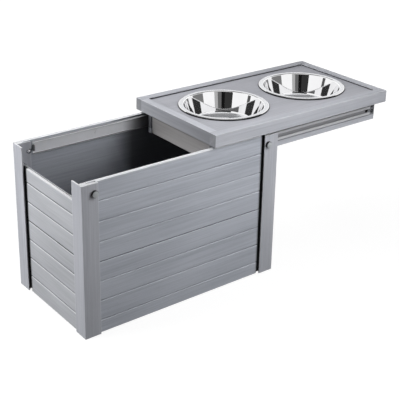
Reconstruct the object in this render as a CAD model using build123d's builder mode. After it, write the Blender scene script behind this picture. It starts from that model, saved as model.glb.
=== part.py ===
"""Raised pet diner: a slatted storage cabinet under a tray that slides sideways on ball slides.

Every piece is drawn where it stands when the tray is pulled out to the right.
The origin is on the floor, at the centre of the cabinet's footprint: +X to the right, +Z up.
Sections of walls and slides use local measures: v runs inward from the cabinet's outer plane,
and u runs inward from the cabinet's corner, along the wall.
"""
from build123d import *
from math import sqrt
import os

os.makedirs("parts", exist_ok=True)

# ---------------------------------------------------------------- cabinet sizes, millimetres
cabinet_length = 600.0
cabinet_depth = 334.0
fit = 0.3                      # clearance round every slotted or seated fit
touch = 0.05                   # clearance of a bolt's shank in its nut

post_height = 407.0
flange_width = 45.0            # the lip of a corner post that covers the end of a wall
flange_thickness = 3.6
post_body = 40.0               # width of the post behind its flange
post_web = 4.0                 # wood left at the bottom of a slot
wing_thickness = 3.0           # the inner wall of a slot
post_round = 1.0

wall_recess = 3.7              # how far a wall's face lies behind the flange
wall_thickness = 11.0
tongue_thickness = 4.8         # the thin end of a wall, held in the post's slot
tight_gap = 3.0                # open gap from a flange's edge to a wall's face: left, and in front
long_loose_gap = 8.0           # the same at a long wall's right end
end_loose_gap = 12.0           # the same at an end wall's back end
slat_pitch = 53.4              # between the V grooves

long_wall_foot = 2.0
long_wall_rise = 2.0           # from the post's top up to the wall's
long_joint_height = 197.0      # where the lower plank meets the upper one
end_wall_foot = 2.0
end_wall_drop = 53.0           # from the post's top down to the wall's
end_joint_height = 209.0
vee_width = 4.4
vee_depth = 2.6
joint_gap = 0.4
tenon_width = 2.4
tenon_height = 4.0

floor_thickness = 9.0
floor_margin = 0.8             # between the floor panel and the posts
floor_edge = 0.8
cleat_width = 15.0
cleat_height = 12.0
cleat_edge = 1.0

# ---------------------------------------------------------------- bolts at the posts
bolt_radius = 3.0
bolt_inset = 34.0              # from the cabinet's corner to the bolt
bolt_drop = 26.0               # from the post's top to the bolt
bolt_head_radius = 9.0
bolt_head_height = 6.4
cap_radius = 8.2
cap_rim_height = 0.8
cap_dome_height = 1.6
cap_crown_radius = 5.0
nut_radius = 6.5
nut_collar_height = 1.4
nut_dome_radius = 4.6
nut_dome_height = 4.2
nut_crown_bevel = 2.4

# ---------------------------------------------------------------- ball-bearing slides
slide_drop = 19.2              # from the post's top down to the centre line
slide_start = 46.0             # from the cabinet's left plane to the fixed member
slide_end = 42.0               # from the fixed member to the cabinet's right plane
moving_end_inset = 26.0        # from the moving member to the right end of the apron
slide_gauge = 1.2              # sheet thickness of the members
fixed_member_height = 35.0
slide_thickness = 10.4
ball_radius = 2.0
ball_gap = 0.1
ball_depth = 5.9               # from the wall to a ball's centre
lip_depth = 3.1                # from the wall to the moving member's inner lip
lip_opening = 10.0             # between the moving member's two lips
cage_gauge = 0.6
cage_depth = 2.0               # from the wall to the cage's web
cage_length = 80.0
cage_reach = 1.0               # how far a pocket closes round its ball past the middle
balls_in_row = 5
ball_pitch = 15.0
bumper_length = 3.4
bumper_height = 16.0

# ---------------------------------------------------------------- tray
tray_end_overhang = 11.0       # past the cabinet at each end, when the tray is shut
tray_side_overhang = 9.0
tray_clearance = 7.0           # above the long walls
tray_thickness = 33.5
tray_travel = 393.0
rail_width = 25.0
inset_drop = 4.5               # the rim stands this much above the inset panel
inset_thickness = 11.0
inset_seat = 8.0               # depth of the groove that holds the inset panel
rail_round = 1.2
board_thickness = 12.0
apron_clearance = 1.0          # above the end walls
apron_left_inset = 17.0        # from the tray's left edge
apron_right_inset = 7.0
apron_end_setback = 4.0        # the side boards run past the end boards by this much
block_leg = 24.0
block_height = 46.0
block_chamfer = 8.0

# ---------------------------------------------------------------- bowls
bowl_rim_radius = 127.0
bowl_rim_width = 20.0
bowl_seat_gap = 2.2            # round the bowl, in the hole of the inset panel
bowl_spacing = 34.0            # between the two rims
bowl_depth = 65.0
bowl_taper = 10.0              # the mouth's radius less the foot's
bowl_corner_radius = 28.0
bowl_gauge = 0.9
bowl_lip_height = 3.8          # the rim's turned-down edge, which stands on the inset panel
bowl_corner_chords = 3         # straight stretches that follow the corner's arc, to keep facets few

# ---------------------------------------------------------------- worked-out places
wall_inner = wall_recess + wall_thickness
tongue_outer = wall_inner - tongue_thickness
tongue_middle = wall_inner - tongue_thickness / 2
slot_outer = tongue_outer - fit
slot_inner = wall_inner + fit
body_inner = slot_inner + wing_thickness
slot_bottom = slot_inner + post_web
bolt_height = post_height - bolt_drop
slide_height = post_height - slide_drop
long_wall_top = post_height + long_wall_rise
end_wall_top = post_height - end_wall_drop

tray_length = cabinet_length + 2 * tray_end_overhang
tray_depth = cabinet_depth + 2 * tray_side_overhang
tray_underside = long_wall_top + tray_clearance
tray_top = tray_underside + tray_thickness
tray_centre = tray_travel
tray_left = tray_centre - tray_length / 2
tray_right = tray_centre + tray_length / 2
inset_top = tray_top - inset_drop
inset_underside = inset_top - inset_thickness
apron_underside = end_wall_top + apron_clearance
apron_left = tray_left + apron_left_inset
apron_right = tray_right - apron_right_inset
apron_length = apron_right - apron_left
apron_centre = (apron_left + apron_right) / 2
apron_half_depth = cabinet_depth / 2 - wall_inner - slide_thickness
inset_length = tray_length - 2 * (rail_width - inset_seat)
inset_depth = tray_depth - 2 * (rail_width - inset_seat)

fixed_left = -cabinet_length / 2 + slide_start
moving_left = fixed_left + bumper_length + 2 * fit + tray_travel
fixed_length = cabinet_length - slide_start - slide_end
moving_length = apron_right - moving_end_inset - moving_left
cage_centre = (moving_left + fixed_left + fixed_length) / 2
bowl_mouth_radius = bowl_rim_radius - bowl_rim_width
bowl_foot_radius = bowl_mouth_radius - bowl_taper
bowl_pitch = 2 * bowl_rim_radius + bowl_spacing
raceway_radius = ball_radius + ball_gap
ball_level = fixed_member_height / 2 - slide_gauge - raceway_radius


def wall_plane(inward, half_span):
    """Section plane across a wall: local x runs inward from the outer plane, local y up."""
    run = Vector(*inward).cross(Vector(0, 0, 1))
    return Plane(origin=Vector(*inward) * -half_span, x_dir=inward, z_dir=run)


def long_side_plane(x, side_y, depth, height):
    """Plane parallel to a long wall, facing out, at a depth v behind the cabinet's outer plane."""
    return Plane(origin=(x, side_y * (cabinet_depth / 2 - depth), height), z_dir=(0, side_y, 0))


# ---------------------------------------------------------------- corner posts
def corner_post(label, side_x, side_y):
    """Extruded corner post: a flanged angle outside, a slot for each wall behind the flanges."""
    half_outline = [
        (flange_width, 0),
        (flange_width, flange_thickness),
        (post_body, flange_thickness),
        (post_body, slot_outer),
        (slot_bottom, slot_outer),
        (slot_bottom, slot_inner),
        (post_body, slot_inner),
        (post_body, body_inner),
    ]
    other_half = [(v, u) for u, v in reversed(half_outline)]
    outline = [(0, 0)] + half_outline + [(body_inner, body_inner)] + other_half
    corner_x = side_x * cabinet_length / 2
    corner_y = side_y * cabinet_depth / 2
    points = [(corner_x - side_x * u, corner_y - side_y * v) for u, v in outline]
    # above the end wall the post is cut away, so that the tray's apron and slides pass it
    notch_u = flange_thickness if side_x < 0 else -fit
    notch_v = body_inner if side_x < 0 else slot_inner
    notch_x = corner_x - side_x * (notch_u + flange_width + fit) / 2
    notch_y = corner_y - side_y * (notch_v + flange_width + fit) / 2
    with BuildPart() as post:
        with BuildSketch():
            with BuildLine():
                Polyline(*points, close=True)
            make_face()
        extrude(amount=post_height, dir=(0, 0, 1))
        upright_edges = post.edges().filter_by(Axis.Z)
        fillet(upright_edges.sort_by_distance((corner_x, corner_y, post_height / 2))[0], radius=post_round)
        with BuildSketch(Plane.XY.offset(end_wall_top)):
            with Locations((notch_x, notch_y)):
                Rectangle(flange_width + fit - notch_u, flange_width + fit - notch_v)
        extrude(amount=post_height, mode=Mode.SUBTRACT)
        with Locations(long_side_plane(corner_x - side_x * bolt_inset, side_y, 0, bolt_height)):
            Hole(radius=bolt_radius + fit, depth=2 * body_inner)
    post.part.label = label
    export_step(post.part, f"parts/{label}.step")


for post_name, post_x, post_y in (
    ("post_front_left", -1, -1),
    ("post_front_right", 1, -1),
    ("post_back_left", -1, 1),
    ("post_back_right", 1, 1),
):
    corner_post(post_name, post_x, post_y)


# ---------------------------------------------------------------- slatted walls
def plank(label, section, wall_length, face_gaps, heights, vees, joint, top_groove=False, holes=()):
    """One plank of a slatted wall, with thin ends for the posts' slots and V grooves outside.

    section is the wall's section plane at the middle of its length, and face_gaps are the open
    gaps to the flanges where its run starts and ends. heights are the plank's foot and top. joint
    says where the wall's other plank lies: "above" gives this one a tenon along its top, and
    "below" a mortise along its foot. holes are (plane, radius, depth).
    """
    foot, top = heights
    middle = (foot + top) / 2
    full_length = wall_length - 2 * (slot_bottom + fit)
    start_gap, end_gap = face_gaps
    face_length = wall_length - 2 * flange_width - start_gap - end_gap
    with BuildPart() as wall:
        with BuildSketch(section.offset(-full_length / 2)):
            with Locations((tongue_middle, middle)):
                Rectangle(tongue_thickness, top - foot)
            if joint == "above":
                with Locations((tongue_middle, top + tenon_height / 2)):
                    Rectangle(tenon_width, tenon_height)
            else:
                with Locations((tongue_middle, foot + (tenon_height + fit) / 2)):
                    Rectangle(tenon_width + 2 * fit, tenon_height + fit, mode=Mode.SUBTRACT)
            if top_groove:
                with Locations((tongue_middle, top - tenon_height / 2)):
                    Rectangle(tenon_width, tenon_height, mode=Mode.SUBTRACT)
        extrude(amount=full_length)
        with BuildSketch(section.offset(flange_width + start_gap - wall_length / 2)):
            with Locations(((wall_recess + tongue_outer) / 2, middle)):
                Rectangle(tongue_outer - wall_recess, top - foot)
            for vee in vees:
                with BuildLine():
                    Polyline(
                        (wall_recess, vee - vee_width / 2),
                        (wall_recess + vee_depth, vee),
                        (wall_recess, vee + vee_width / 2),
                        close=True,
                    )
                make_face(mode=Mode.SUBTRACT)
        extrude(amount=face_length)
        for plane, radius, depth in holes:
            with Locations(plane):
                Hole(radius=radius, depth=depth)
    wall.part.label = label
    export_step(wall.part, f"parts/{label}.step")


bolt_reach = cabinet_length / 2 - bolt_inset
lower_heights = (long_wall_foot, long_joint_height - joint_gap / 2)
upper_heights = (long_joint_height + joint_gap / 2, long_wall_top)
lower_vees = [long_joint_height - n * slat_pitch for n in range(4)]
upper_vees = [long_joint_height + n * slat_pitch for n in range(4)]
left_to_right = (tight_gap, long_loose_gap)
for wall_name, side, gaps in (("front", -1, left_to_right), ("back", 1, left_to_right[::-1])):
    wall_section = wall_plane((0, -side, 0), cabinet_depth / 2)
    wall_holes = [
        (long_side_plane(x, side, 0, bolt_height), bolt_radius + fit, 2 * wall_inner)
        for x in (-bolt_reach, bolt_reach)
    ]
    plank(f"{wall_name}_wall_lower", wall_section, cabinet_length, gaps, lower_heights, lower_vees, "above")
    plank(f"{wall_name}_wall_upper", wall_section, cabinet_length, gaps, upper_heights, upper_vees, "below",
          holes=wall_holes)

lower_heights = (end_wall_foot, end_joint_height - joint_gap / 2)
upper_heights = (end_joint_height + joint_gap / 2, end_wall_top)
lower_vees = [end_joint_height - n * slat_pitch for n in range(4)]
upper_vees = [end_joint_height + n * slat_pitch for n in range(3)]
front_to_back = (tight_gap, end_loose_gap)
for wall_name, side, gaps in (("left", -1, front_to_back[::-1]), ("right", 1, front_to_back)):
    wall_section = wall_plane((-side, 0, 0), cabinet_length / 2)
    plank(f"{wall_name}_wall_lower", wall_section, cabinet_depth, gaps, lower_heights, lower_vees, "above")
    plank(f"{wall_name}_wall_upper", wall_section, cabinet_depth, gaps, upper_heights, upper_vees, "below",
          top_groove=True)

# ---------------------------------------------------------------- floor of the storage box
with BuildPart() as floor_cleats:
    with BuildSketch(Plane.XY.offset(long_wall_foot)):
        with GridLocations(0, cabinet_depth - 2 * wall_inner - cleat_width, 1, 2):
            Rectangle(cabinet_length - 2 * (post_body + floor_margin), cleat_width)
    extrude(amount=cleat_height)
    chamfer(floor_cleats.edges().filter_by(Axis.X).group_by(Axis.Z)[0], length=cleat_edge)
floor_cleats.part.label = "floor_cleats"
export_step(floor_cleats.part, "parts/floor_cleats.step")

with BuildPart() as floor_panel:
    with BuildSketch(Plane.XY.offset(long_wall_foot + cleat_height)):
        Rectangle(
            cabinet_length - 2 * (body_inner + floor_margin),
            cabinet_depth - 2 * (body_inner + floor_margin),
        )
    extrude(amount=floor_thickness)
    chamfer(floor_panel.faces().sort_by(Axis.Z)[-1].edges(), length=floor_edge)
floor_panel.part.label = "floor_panel"
export_step(floor_panel.part, "parts/floor_panel.step")

# ---------------------------------------------------------------- bolts, caps and nuts
def bolt_section(x, side_y, depth):
    """Half-section plane of a bolt: local x is the radius, local y runs inward from depth v."""
    origin = (x, side_y * (cabinet_depth / 2 - depth), bolt_height)
    return Plane(origin=origin, x_dir=(1, 0, 0), z_dir=(0, 0, -side_y))


def bolt_axis(x, side_y):
    """Axis of a bolt, pointing inward."""
    return Axis((x, side_y * cabinet_depth / 2, bolt_height), (0, -side_y, 0))


# a left nut sits on the post's slot wall, and a right one on the wall's thin end, under the notch
with BuildPart() as corner_bolts:
    for side in (-1, 1):
        for x, nut_seat in ((-bolt_reach, body_inner), (bolt_reach, wall_inner)):
            with BuildSketch(bolt_section(x, side, 0)):
                with BuildLine():
                    Polyline(
                        (0, -bolt_head_height),
                        (bolt_head_radius, -bolt_head_height),
                        (bolt_head_radius, 0),
                        (bolt_radius, 0),
                        (bolt_radius, nut_seat + nut_collar_height),
                        (0, nut_seat + nut_collar_height),
                        close=True,
                    )
                make_face()
            revolve(axis=bolt_axis(x, side))
corner_bolts.part.label = "corner_bolts"
export_step(corner_bolts.part, "parts/corner_bolts.step")

with BuildPart() as bolt_caps:
    cap_crown = -cap_rim_height - cap_dome_height
    for side in (-1, 1):
        for x in (-bolt_reach, bolt_reach):
            with BuildSketch(bolt_section(x, side, -bolt_head_height)):
                with BuildLine():
                    Polyline(
                        (0, 0),
                        (cap_radius, 0),
                        (cap_radius, -cap_rim_height),
                        (cap_crown_radius, cap_crown),
                        (0, cap_crown),
                        close=True,
                    )
                make_face()
            revolve(axis=bolt_axis(x, side))
bolt_caps.part.label = "bolt_caps"
export_step(bolt_caps.part, "parts/bolt_caps.step")

with BuildPart() as dome_nuts:
    nut_bore = bolt_radius + touch
    dome_top = nut_collar_height + nut_dome_height
    for side in (-1, 1):
        with BuildSketch(bolt_section(-bolt_reach, side, body_inner)):
            with BuildLine():
                Polyline(
                    (0, dome_top),
                    (0, nut_collar_height + touch),
                    (nut_bore, nut_collar_height + touch),
                    (nut_bore, 0),
                    (nut_radius, 0),
                    (nut_radius, nut_collar_height),
                    (nut_dome_radius, nut_collar_height),
                    (nut_dome_radius, dome_top - nut_crown_bevel),
                    (nut_dome_radius - nut_crown_bevel, dome_top),
                    close=True,
                )
            make_face()
        revolve(axis=bolt_axis(-bolt_reach, side))
dome_nuts.part.label = "dome_nuts"
export_step(dome_nuts.part, "parts/dome_nuts.step")

with BuildPart() as flat_nuts:
    for side in (-1, 1):
        with BuildSketch(long_side_plane(bolt_reach, side, wall_inner, bolt_height)):
            Circle(nut_radius)
            Circle(bolt_radius + touch, mode=Mode.SUBTRACT)
        extrude(amount=-nut_collar_height)
flat_nuts.part.label = "flat_nuts"
export_step(flat_nuts.part, "parts/flat_nuts.step")


# ---------------------------------------------------------------- ball-bearing slides
def slide_plane(side_y, start):
    """Section plane of a slide: local x runs inward from its wall, local y up, from x = start."""
    inward = (0, -side_y, 0)
    section = wall_plane(inward, cabinet_depth / 2 - wall_inner)
    return Plane(origin=section.origin + Vector(start, 0, slide_height), x_dir=inward, z_dir=section.z_dir)


def slide_start_x(side_y, left, length):
    """The end from which a section is extruded: its plane faces +X in front and -X at the back."""
    return left if side_y < 0 else left + length


def fixed_member(label, side_y):
    """Wall member of a slide: a wide C whose two curled edges run over the balls."""
    middle = raceway_radius + slide_gauge / 2
    web_x = slide_gauge / 2
    flange_y = ball_level + middle
    with BuildPart() as member:
        with BuildSketch(slide_plane(side_y, slide_start_x(side_y, fixed_left, fixed_length))):
            with BuildLine():
                web = Line((web_x, 0), (web_x, flange_y - middle))
                corner = RadiusArc(web @ 1, (web_x + middle, flange_y), middle)
                flange = Line(corner @ 1, (ball_depth, flange_y))
                CenterArc((ball_depth, ball_level), middle, 90, -70)
                mirror(about=Plane.XZ)
            trace(line_width=slide_gauge)
        extrude(amount=fixed_length)
    member.part.label = label
    export_step(member.part, f"parts/{label}.step")


def moving_member(label, side_y):
    """Tray member of a slide: a narrow C, its edges grooved under the balls, with inner lips."""
    middle = raceway_radius + slide_gauge / 2
    web_x = slide_thickness - slide_gauge / 2
    with BuildPart() as member:
        with BuildSketch(slide_plane(side_y, slide_start_x(side_y, moving_left, moving_length))):
            with BuildLine():
                groove = CenterArc((ball_depth, ball_level), middle, -60, -60)
                web = Line((web_x, 0), (web_x, ball_level - 2 * middle))
                Line(web @ 1, groove @ 0)
                mirror(about=Plane.XZ)
            trace(line_width=slide_gauge)
            lip_top = (groove @ 1).Y
            lip_height = lip_top - lip_opening / 2
            lip_width = (groove @ 1).X - lip_depth + slide_gauge / 2
            for end in (-1, 1):
                with Locations((lip_depth + lip_width / 2, end * (lip_opening + lip_height) / 2)):
                    Rectangle(lip_width, lip_height)
        extrude(amount=moving_length)
    member.part.label = label
    export_step(member.part, f"parts/{label}.step")


def ball_spots(row_level):
    """Places of one row of balls in a cage: along the slide, and above or below its centre."""
    middle = (balls_in_row - 1) / 2
    return [(cage_centre + (n - middle) * ball_pitch, row_level) for n in range(balls_in_row)]


def ball_cage(label, side_y):
    """Pressed channel that spaces the balls: each flange has a row of pockets open at its edge."""
    pocket_width = ball_depth + cage_reach - cage_depth
    wall_y = side_y * (cabinet_depth / 2 - wall_inner)
    with BuildPart() as cage:
        with BuildSketch(slide_plane(side_y, slide_start_x(side_y, cage_centre - cage_length / 2, cage_length))):
            with Locations((cage_depth + cage_gauge / 2, 0)):
                Rectangle(cage_gauge, 2 * ball_level + cage_gauge)
            for end in (-1, 1):
                with Locations((cage_depth + pocket_width / 2, end * ball_level)):
                    Rectangle(pocket_width, cage_gauge)
        extrude(amount=cage_length)
        with BuildSketch(Plane.XY.offset(slide_height - 2 * ball_level)):
            for x, _ in ball_spots(ball_level):
                with Locations((x, wall_y - side_y * ball_depth)):
                    Circle(raceway_radius)
        extrude(amount=4 * ball_level, mode=Mode.SUBTRACT)
    cage.part.label = label
    export_step(cage.part, f"parts/{label}.step")


def slide_balls(label, side_y):
    """The balls of one slide, in two rows.

    There are many of them, so each has 26 flats: a cube bevelled on every edge, with its corners
    on the ball's sphere and its flats all as wide as the bevels.
    """
    ball_y = side_y * (cabinet_depth / 2 - wall_inner - ball_depth)
    spots = ball_spots(ball_level) + ball_spots(-ball_level)
    flat = 2 * ball_radius / sqrt(5 + 2 * sqrt(2))
    cube = flat * (1 + sqrt(2))
    with BuildPart() as balls:
        with Locations(*[(x, ball_y, slide_height + level) for x, level in spots]):
            Box(cube, cube, cube)
        chamfer(balls.edges(), length=(cube - flat) / 2)
    balls.part.label = label
    export_step(balls.part, f"parts/{label}.step")


for slide_name, side in (("front", -1), ("back", 1)):
    fixed_member(f"slide_fixed_{slide_name}", side)
    moving_member(f"slide_moving_{slide_name}", side)
    ball_cage(f"ball_cage_{slide_name}", side)
    slide_balls(f"slide_balls_{slide_name}", side)

with BuildPart() as slide_bumpers:
    for side in (-1, 1):
        with BuildSketch(slide_plane(side, slide_start_x(side, fixed_left, bumper_length))):
            bumper_width = slide_thickness - 2 * slide_gauge - fit
            with Locations((slide_gauge + bumper_width / 2, 0)):
                RectangleRounded(bumper_width, bumper_height, slide_gauge)
        extrude(amount=bumper_length)
slide_bumpers.part.label = "slide_bumpers"
export_step(slide_bumpers.part, "parts/slide_bumpers.step")


# ---------------------------------------------------------------- tray frame
def tray_rail(label, centre, size, outside):
    """One rail of the tray's rim, grooved inside for the inset panel."""
    with BuildPart() as rail:
        with BuildSketch(Plane.XY.offset(tray_underside)):
            with Locations(centre):
                Rectangle(*size)
        extrude(amount=tray_top - tray_underside)
        outer_face = rail.faces().sort_by(outside)[-1]
        fillet(outer_face.edges().sort_by(Axis.Z)[-1], radius=rail_round)
        with BuildSketch(Plane.XY.offset(inset_underside - fit)):
            with Locations((tray_centre, 0)):
                Rectangle(inset_length + 2 * fit, inset_depth + 2 * fit)
        extrude(amount=inset_thickness + 2 * fit, mode=Mode.SUBTRACT)
    rail.part.label = label
    export_step(rail.part, f"parts/{label}.step")


rail_middle_x = (tray_length - rail_width) / 2
rail_middle_y = (tray_depth - rail_width) / 2
long_rail = (tray_length, rail_width)
short_rail = (rail_width, tray_depth - 2 * rail_width)
tray_rail("tray_rail_front", (tray_centre, -rail_middle_y), long_rail, Axis((0, 0, 0), (0, -1, 0)))
tray_rail("tray_rail_back", (tray_centre, rail_middle_y), long_rail, Axis.Y)
tray_rail("tray_rail_left", (tray_centre - rail_middle_x, 0), short_rail, Axis((0, 0, 0), (-1, 0, 0)))
tray_rail("tray_rail_right", (tray_centre + rail_middle_x, 0), short_rail, Axis.X)

bowl_spots = [(tray_centre - bowl_pitch / 2, 0), (tray_centre + bowl_pitch / 2, 0)]
with BuildPart() as inset_panel:
    with BuildSketch(Plane.XY.offset(inset_underside)):
        with Locations((tray_centre, 0)):
            Rectangle(inset_length, inset_depth)
        with Locations(*bowl_spots):
            Circle(bowl_mouth_radius + bowl_gauge + bowl_seat_gap, mode=Mode.SUBTRACT)
    extrude(amount=inset_thickness)
inset_panel.part.label = "inset_panel"
export_step(inset_panel.part, "parts/inset_panel.step")

# ---------------------------------------------------------------- apron under the tray
apron_height = tray_underside - apron_underside
end_board_spots = (
    apron_left + apron_end_setback + board_thickness / 2,
    apron_right - apron_end_setback - board_thickness / 2,
)
for board_name, side in (("front", -1), ("back", 1)):
    with BuildPart() as side_board:
        with BuildSketch(Plane.XY.offset(apron_underside)):
            with Locations((apron_centre, side * (apron_half_depth - board_thickness / 2))):
                Rectangle(apron_length, board_thickness)
        extrude(amount=apron_height)
        with BuildSketch(Plane.XY.offset(tray_underside)):
            with Locations((tray_centre, side * (apron_half_depth - board_thickness / 2))):
                Rectangle(tray_length - 2 * rail_width, board_thickness)
        extrude(amount=inset_underside - tray_underside)
    side_board.part.label = f"apron_{board_name}"
    export_step(side_board.part, f"parts/apron_{board_name}.step")

end_board_half = apron_half_depth - board_thickness
for board_name, x in zip(("left", "right"), end_board_spots):
    with BuildPart() as end_board:
        with BuildSketch(Plane.XY.offset(apron_underside)):
            with Locations((x, 0)):
                Rectangle(board_thickness, 2 * end_board_half)
        extrude(amount=apron_height)
    end_board.part.label = f"apron_{board_name}"
    export_step(end_board.part, f"parts/apron_{board_name}.step")

block_x = apron_length / 2 - apron_end_setback - board_thickness - block_leg / 2
block_y = end_board_half - block_leg / 2
with BuildPart() as corner_blocks:
    with BuildSketch(Plane.XY.offset(tray_underside - block_height)):
        with Locations((apron_centre, 0)):
            with GridLocations(2 * block_x, 2 * block_y, 2, 2):
                Rectangle(block_leg, block_leg)
    extrude(amount=block_height)
    for corner in corner_blocks.solids():
        bowl_side = corner.edges().filter_by(Axis.Z).sort_by_distance((apron_centre, 0, tray_underside))[0]
        chamfer(bowl_side, length=block_chamfer)
corner_blocks.part.label = "corner_blocks"
export_step(corner_blocks.part, "parts/corner_blocks.step")

# ---------------------------------------------------------------- bowls
for bowl_name, (bowl_x, bowl_y) in zip(("left", "right"), bowl_spots):
    rim_height = inset_top + fit + bowl_lip_height
    with BuildPart() as bowl:
        with BuildSketch(Plane(origin=(bowl_x, bowl_y, rim_height), x_dir=(1, 0, 0), z_dir=(0, -1, 0))):
            with BuildLine():
                corner = FilletPolyline(
                    (0, -bowl_depth),
                    (bowl_foot_radius, -bowl_depth),
                    (bowl_mouth_radius, -bowl_gauge / 2),
                    radius=bowl_corner_radius,
                    mode=Mode.PRIVATE,
                ).edges()[1]
                Polyline(
                    (0, -bowl_depth),
                    *[corner @ (n / bowl_corner_chords) for n in range(bowl_corner_chords + 1)],
                    (bowl_mouth_radius, -bowl_gauge / 2),
                    (bowl_rim_radius - bowl_gauge / 2, -bowl_gauge / 2),
                    (bowl_rim_radius - bowl_gauge / 2, -bowl_lip_height),
                )
            trace(line_width=bowl_gauge)
        revolve(axis=Axis((bowl_x, bowl_y, 0), (0, 0, 1)))
    bowl.part.label = f"bowl_{bowl_name}"
    export_step(bowl.part, f"parts/bowl_{bowl_name}.step")
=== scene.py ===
# %% [markdown]
# # A raised pet diner: storage box, sliding tray, two steel bowls
# The object is a slatted box of grey wood-and-plastic composite. A tray with two steel bowls
# slides sideways off it on ball-bearing slides. The measured model is loaded first as a fixed
# frame: it gives every place and size, and each piece made here rides on one of its bodies.

import math

import bmesh
import bpy
import numpy as np
from mathutils import Matrix, Vector


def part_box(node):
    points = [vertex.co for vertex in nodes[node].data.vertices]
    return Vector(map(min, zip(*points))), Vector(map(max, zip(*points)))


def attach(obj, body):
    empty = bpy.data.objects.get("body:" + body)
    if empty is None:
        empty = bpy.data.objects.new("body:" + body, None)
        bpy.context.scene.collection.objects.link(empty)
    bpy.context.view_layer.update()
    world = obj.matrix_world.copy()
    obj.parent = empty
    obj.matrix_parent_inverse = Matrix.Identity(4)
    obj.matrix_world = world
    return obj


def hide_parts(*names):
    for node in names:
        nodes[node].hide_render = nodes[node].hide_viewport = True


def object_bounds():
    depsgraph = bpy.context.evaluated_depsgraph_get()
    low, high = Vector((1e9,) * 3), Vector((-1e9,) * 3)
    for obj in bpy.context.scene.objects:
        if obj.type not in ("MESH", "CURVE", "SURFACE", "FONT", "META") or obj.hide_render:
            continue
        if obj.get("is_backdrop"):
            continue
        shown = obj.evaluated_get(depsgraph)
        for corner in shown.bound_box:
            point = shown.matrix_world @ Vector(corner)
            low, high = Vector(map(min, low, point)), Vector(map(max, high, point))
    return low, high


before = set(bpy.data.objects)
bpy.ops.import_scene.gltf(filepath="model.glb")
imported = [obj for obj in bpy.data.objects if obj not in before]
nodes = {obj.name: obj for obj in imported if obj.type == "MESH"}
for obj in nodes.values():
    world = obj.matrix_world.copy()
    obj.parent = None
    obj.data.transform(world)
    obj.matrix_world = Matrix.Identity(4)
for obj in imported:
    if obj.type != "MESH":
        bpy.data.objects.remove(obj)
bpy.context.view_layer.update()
MM = 0.001

# %% [markdown]
# ## Where things are
# Each place is read from the frame's boxes, so the looks can't drift from the mechanics. Posts and
# walls are thought of in their own measures: `v` runs inward from the cabinet's outer plane, `u`
# runs along it from the cabinet's corner, and `z` is the height. Only the sizes that a box can't
# show, such as the depth of a groove, are written out, in the cell that first needs them.

# %% Places read from the frame
post_low, post_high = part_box("post_front_left")
cabinet_half = Vector((-post_low.x, -post_low.y))
post_top = post_high.z
flange_width = post_high.x - post_low.x
end_wall_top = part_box("left_wall_upper")[1].z
tray_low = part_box("tray_rail_front")[0]
tray_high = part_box("tray_rail_back")[1]
tray_middle = (tray_low.x + tray_high.x) / 2
tray_half_length, tray_half_depth = (tray_high.x - tray_low.x) / 2, tray_high.y
inset_low, inset_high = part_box("inset_panel")
bowl_boxes = [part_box(f"bowl_{side}") for side in ("left", "right")]
bowl_centres = [(low + high) / 2 for low, high in bowl_boxes]
rim_set_in = 3 * MM
rim_radius = (bowl_boxes[0][1].x - bowl_boxes[0][0].x) / 2 - rim_set_in
print("cabinet half size", tuple(round(v / MM, 1) for v in cabinet_half))
print("tray from x", round(tray_low.x / MM, 1), "to", round(tray_high.x / MM, 1))

# %% [markdown]
# ## Two ways to make a surface
# Almost every board is one outline carried along a straight path, and everything round is one
# outline turned about an axis. Both are grids: one parameter runs round the outline and the other
# along the path or round the axis, so numpy works out every point at once.
#
# Composite boards are extruded and then cut, so no edge is perfectly sharp. The outline's corners
# are therefore rounded before it is carried, and that thin round is what catches the light. The
# same step gives every point a number, in an attribute called `wear_and_painted_light`, which the
# material reads later: 1 is a pale edge, rubbed in most places and a painted highlight at a
# groove's lip, 0 is the plain face, and -1 is painted deep shade.

# %% Round the corners of an outline
# the lowest amount: full painted shade, which doesn't fade out
shade = -1.0
corner_room = 0.42
fade_reach, fade_room = 4, 1.08


def double_area(points):
    """Twice an outline's area, the sum of x y' - x' y: positive when it runs anticlockwise."""
    x, y = points.T
    return np.sum(x * np.roll(y, -1) - np.roll(x, -1) * y)


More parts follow.
